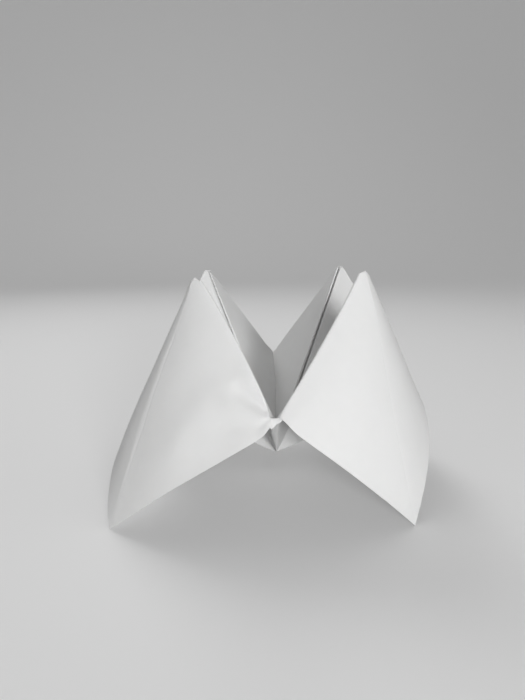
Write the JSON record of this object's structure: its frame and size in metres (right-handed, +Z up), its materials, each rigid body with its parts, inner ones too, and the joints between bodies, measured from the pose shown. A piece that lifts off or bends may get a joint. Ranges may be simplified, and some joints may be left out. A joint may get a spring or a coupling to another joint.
{
  "type": "paper fortune teller",
  "caption": "Square sheet of plain white paper folded into a fortune teller, standing points-up on the free corners of its outer flaps.",
  "frame": {"origin": "middle of the outline seen from above, at the height of the surface that the free corners stand on", "axes": "+Z up towards the four tips, +Y away from the side that the picture shows, +X to the right of it"},
  "size_m": [0.1012, 0.0992, 0.0726],
  "materials": {
    "paper": "matte uncoated copy paper, slightly creased along its folds"
  },
  "bodies": {
    "root": {"folded_sheet": "paper"}
  },
  "joints": []
}
